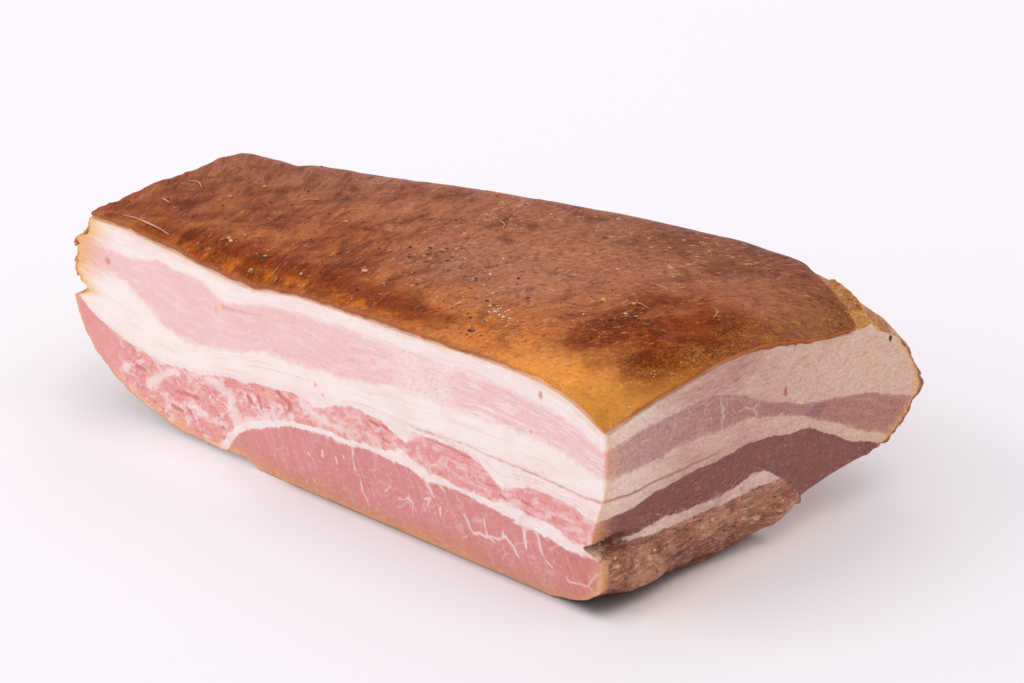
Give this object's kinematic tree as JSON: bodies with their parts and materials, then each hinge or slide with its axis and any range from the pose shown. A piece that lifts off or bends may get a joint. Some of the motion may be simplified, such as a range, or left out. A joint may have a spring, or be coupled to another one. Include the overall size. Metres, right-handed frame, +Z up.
{
  "type": "smoked pork belly chunk",
  "caption": "Chunk of smoked pork belly with brown rind on top, two fresh cut faces showing fat and lean bands, a torn end and a rounded smoked back.",
  "frame": {"origin": "middle of the bottom of the bounding box, on the surface the chunk rests on", "axes": "+X along the long cut face towards the cut end, +Y from the long cut face to the back, +Z up through the rind"},
  "size_m": [0.2234, 0.1258, 0.0626],
  "materials": {
    "meat": "satin"
  },
  "bodies": {
    "root": {"belly_chunk": "meat"}
  },
  "joints": []
}
